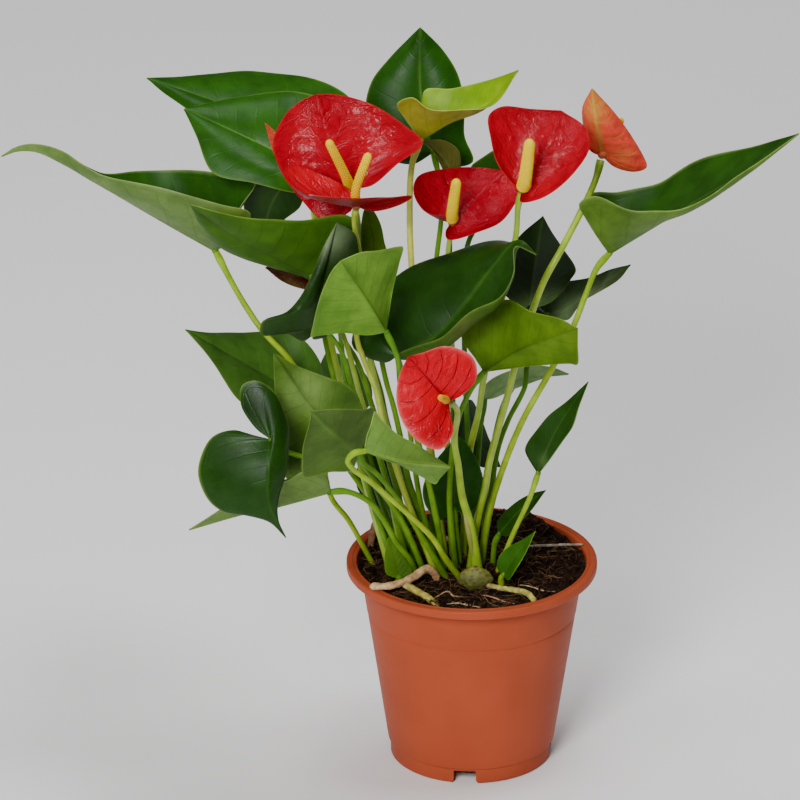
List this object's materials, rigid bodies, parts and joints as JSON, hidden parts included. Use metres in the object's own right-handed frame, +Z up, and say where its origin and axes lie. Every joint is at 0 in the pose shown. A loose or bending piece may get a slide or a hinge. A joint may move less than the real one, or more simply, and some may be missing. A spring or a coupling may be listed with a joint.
{
  "type": "potted anthurium",
  "caption": "Potted flamingo flower: heart-shaped leaves on long stalks and glossy red spathes with yellow spadices, in a terracotta-coloured plastic nursery pot.",
  "frame": {"origin": "on the axis of the pot, at the middle of the flat pad under its base, in the plane that it stands on", "axes": "+Z up along the axis of the pot, -Y towards the front as pictured, +X to the right seen from the front"},
  "size_m": [0.3742, 0.2138, 0.3601],
  "materials": {
    "terracottaPlastic": "satin thermoformed plastic",
    "soil": "dark peat with bark fibres",
    "leafTissue": "waxy green leaf with its green stalk",
    "redSpathe": "glossy red, finely wrinkled",
    "spadix": "yellow, covered with small florets",
    "stalk": "smooth green stem",
    "fadedSpathe": "dark maroon, withering",
    "root": "smooth aerial root",
    "twig": "dry bark",
    "stub": "cut stem stub, dull green"
  },
  "bodies": {
    "root": {"pot": "terracottaPlastic", "soil": "soil", "leafBackHigh": "leafTissue", "leafUpperLeft": "leafTissue", "leafShaded": "leafTissue", "leafFarLeft": "leafTissue", "leafPaleLeft": "leafTissue", "leafFoldedLeft": "leafTissue", "leafPaleFront": "leafTissue", "leafCentre": "leafTissue", "leafDarkRight": "leafTissue", "leafSlimRight": "leafTissue", "leafPaleRight": "leafTissue", "leafGreyRight": "leafTissue", "leafLowRight": "leafTissue", "leafDarkLow": "leafTissue", "leafSmallLow": "leafTissue", "leafDarkBack": "leafTissue", "leafMidLow": "leafTissue", "leafDarkMiddle": "leafTissue", "leafMatteLeft": "leafTissue", "leafDarkLeft": "leafTissue", "leafLitLeft": "leafTissue", "leafGreyFront": "leafTissue", "leafBrightFront": "leafTissue", "leafHeart": "leafTissue", "leafOliveLow": "leafTissue", "leafTop": "leafTissue", "leafYellowTop": "leafTissue", "leafBrownTop": "leafTissue", "leafBehindBlooms": "leafTissue", "leafFarRight": "leafTissue", "leafYoungOlive": "leafTissue", "leafSheath": "leafTissue", "bloomBigSpathe": "redSpathe", "bloomBigSpadix": "spadix", "bloomBigStalk": "stalk", "bloomLowerSpathe": "redSpathe", "bloomLowerSpadix": "spadix", "bloomLowerStalk": "stalk", "bloomHiddenSpathe": "redSpathe", "bloomHiddenSpadix": "spadix", "bloomHiddenStalk": "stalk", "bloomCentreSpathe": "redSpathe", "bloomCentreSpadix": "spadix", "bloomCentreStalk": "stalk", "bloomRightSpathe": "redSpathe", "bloomRightSpadix": "spadix", "bloomRightStalk": "stalk", "bloomBackRightSpathe": "redSpathe", "bloomBackRightSpadix": "spadix", "bloomBackRightStalk": "stalk", "bloomFrontSpathe": "redSpathe", "bloomFrontSpadix": "spadix", "bloomFrontStalk": "stalk", "bloomDarkSpathe": "fadedSpathe", "bloomDarkStalk": "stalk", "rootPink": "root", "twig": "twig", "crownStub": "stub"}
  },
  "joints": []
}
